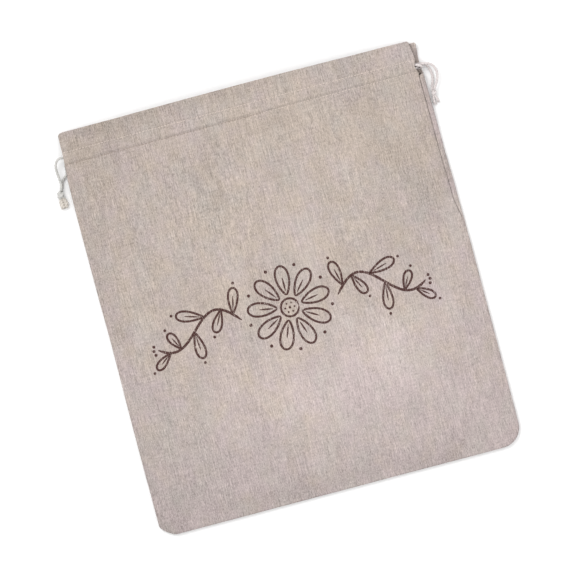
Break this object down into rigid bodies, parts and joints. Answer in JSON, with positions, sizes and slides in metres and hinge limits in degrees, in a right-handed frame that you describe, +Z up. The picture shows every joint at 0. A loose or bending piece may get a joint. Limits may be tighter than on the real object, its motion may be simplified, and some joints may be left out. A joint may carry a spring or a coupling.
{
  "type": "drawstring bread bag",
  "caption": "Linen drawstring bread bag lying flat, with a stitched header, a cord tunnel and two knotted cotton cords.",
  "frame": {"origin": "under the middle of the bag, on the surface it lies on", "axes": "+X across the bag to its right as seen from above, +Y along the bag to its mouth, +Z up from the surface"},
  "size_m": [0.3792, 0.3979, 0.0169],
  "materials": {
    "linen": "matt",
    "cord": "matt"
  },
  "bodies": {
    "root": {"front_panel": "linen", "back_panel": "linen", "drawcord_left": "cord", "drawcord_right": "cord", "knot_left": "cord", "knot_right": "cord"}
  },
  "joints": []
}
